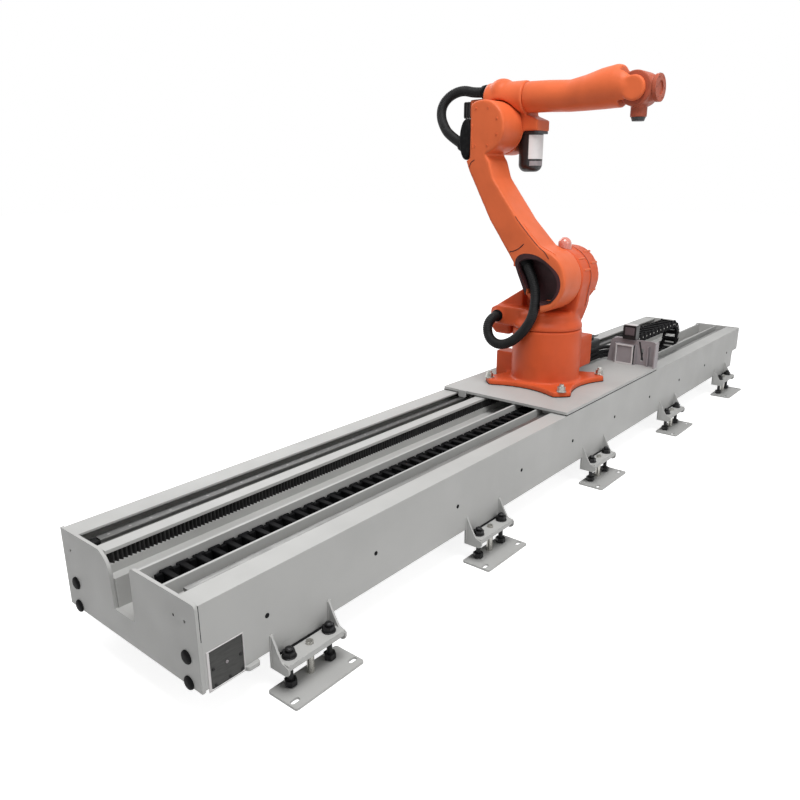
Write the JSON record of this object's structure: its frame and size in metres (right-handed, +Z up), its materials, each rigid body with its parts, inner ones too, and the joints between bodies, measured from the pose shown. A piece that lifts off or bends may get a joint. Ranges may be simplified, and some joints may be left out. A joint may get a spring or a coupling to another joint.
{
  "type": "robot seventh axis track",
  "caption": "Floor track with a rack-driven carriage, cable chain and levelling feet, carrying a six-axis arm.",
  "frame": {"origin": "on the floor under the middle of the track, between the two middle foot plates", "axes": "+X along the track towards the end where the cable stand is, -Y the front side with the cable chain, +Z up"},
  "size_m": [5.005, 1.2463, 2.075],
  "materials": {
    "frame_paint": "satin",
    "machined_steel": "brushed",
    "black_steel": "satin",
    "bolt_steel": "satin",
    "black_rubber": "satin",
    "black_plastic": "matte",
    "grey_paint": "satin",
    "black_paint": "satin",
    "robot_paint": "gloss"
  },
  "bodies": {
    "track": {"front_beam": "frame_paint", "rear_beam": "frame_paint", "front_inner_beam": "frame_paint", "chain_trough": "frame_paint", "rack_beam": "frame_paint", "rear_inner_beam": "frame_paint", "cross_members": "frame_paint", "near_end_plate": "frame_paint", "far_end_plate": "frame_paint", "end_plugs": "black_rubber", "front_side_cover": "machined_steel", "rear_side_cover": "machined_steel", "jacking_lugs": "frame_paint", "front_rail": "machined_steel", "rear_rail": "machined_steel", "gear_rack": "machined_steel", "front_foot_brackets": "frame_paint", "rear_foot_brackets": "frame_paint", "front_foot_plates": "frame_paint", "rear_foot_plates": "frame_paint", "levelling_studs": "black_steel", "levelling_nuts": "black_steel", "jack_screws": "bolt_steel", "chain_fixed_run": "black_plastic", "chain_lower_run": "black_plastic"},
    "carriage": {"carriage_plate": "frame_paint", "bearing_blocks": "machined_steel", "rail_wiper": "frame_paint", "drive_gearbox": "grey_paint", "drive_motor": "black_paint", "cable_stand": "grey_paint", "terminal_box": "grey_paint", "junction_box": "black_paint", "robot_base": "robot_paint", "base_bolts": "bolt_steel", "conduits": "black_rubber", "chain_upper_run": "black_plastic"},
    "pinion": {"pinion": "machined_steel"},
    "chain_lower": {"chain_bend_lower": "black_plastic"},
    "chain_upper": {"chain_bend_upper": "black_plastic"},
    "turret": {"turret": "robot_paint", "shoulder_cover": "robot_paint", "signal_lamp": "robot_paint", "lower_hose": "black_rubber"},
    "lower_arm": {"lower_arm": "robot_paint", "lower_hose_gland": "black_plastic", "outlet_hood": "black_rubber", "upper_hose": "black_rubber"},
    "elbow": {"elbow_housing": "robot_paint", "elbow_motor": "black_paint", "hanging_motor": "black_paint"},
    "forearm": {"forearm": "robot_paint"},
    "wrist": {"wrist": "robot_paint", "wrist_drive_cap": "robot_paint"},
    "tool_flange": {"tool_flange": "machined_steel"}
  },
  "joints": [
    {"name": "track_slide", "type": "slide", "parent": "track", "child": "carriage", "axis": [1, 0, 0], "range_m": [-2.05, 1.25]},
    {"name": "pinion_spin", "type": "hinge", "parent": "carriage", "child": "pinion", "pos_m": [0.56, 0.075, 0.4], "axis": [0, 0, 1], "range_deg": [-2940, 1795]},
    {"name": "chain_lower_travel", "type": "slide", "parent": "track", "child": "chain_lower", "axis": [1, 0, 0], "range_m": [-1.025, 0.625], "deforming": ["chain_lower_run"]},
    {"name": "chain_upper_travel", "type": "slide", "parent": "carriage", "child": "chain_upper", "axis": [1, 0, 0], "range_m": [-0.625, 1.025], "deforming": ["chain_upper_run"]},
    {"name": "first_axis", "type": "hinge", "parent": "carriage", "child": "turret", "pos_m": [0.115, 0, 0.7608], "axis": [0, 0, 1], "range_deg": [-170, 170]},
    {"name": "second_axis", "type": "hinge", "parent": "turret", "child": "lower_arm", "pos_m": [0.0005, -0.035, 1.035], "axis": [1, 0, 0], "range_deg": [-35, 100], "deforming": ["lower_hose"]},
    {"name": "third_axis", "type": "hinge", "parent": "lower_arm", "child": "elbow", "pos_m": [0.115, 0.335, 1.805], "axis": [-1, 0, 0], "range_deg": [-40, 75], "deforming": ["upper_hose"]},
    {"name": "fourth_axis", "type": "hinge", "parent": "elbow", "child": "forearm", "pos_m": [0.115, 0.185, 1.955], "axis": [0, -1, 0], "range_deg": [-180, 180]},
    {"name": "fifth_axis", "type": "hinge", "parent": "forearm", "child": "wrist", "pos_m": [0.115, -0.421, 1.955], "axis": [-1, 0, 0], "range_deg": [-25, 100]},
    {"name": "sixth_axis", "type": "hinge", "parent": "wrist", "child": "tool_flange", "pos_m": [0.115, -0.505, 1.955], "axis": [0, -1, 0], "range_deg": [-350, 350]}
  ],
  "couplings": [
    {"joint": "pinion_spin", "follows": "track_slide", "rad_per_m": 25},
    {"joint": "chain_lower_travel", "follows": "track_slide", "ratio": 0.5},
    {"joint": "chain_upper_travel", "follows": "track_slide", "ratio": -0.5}
  ]
}
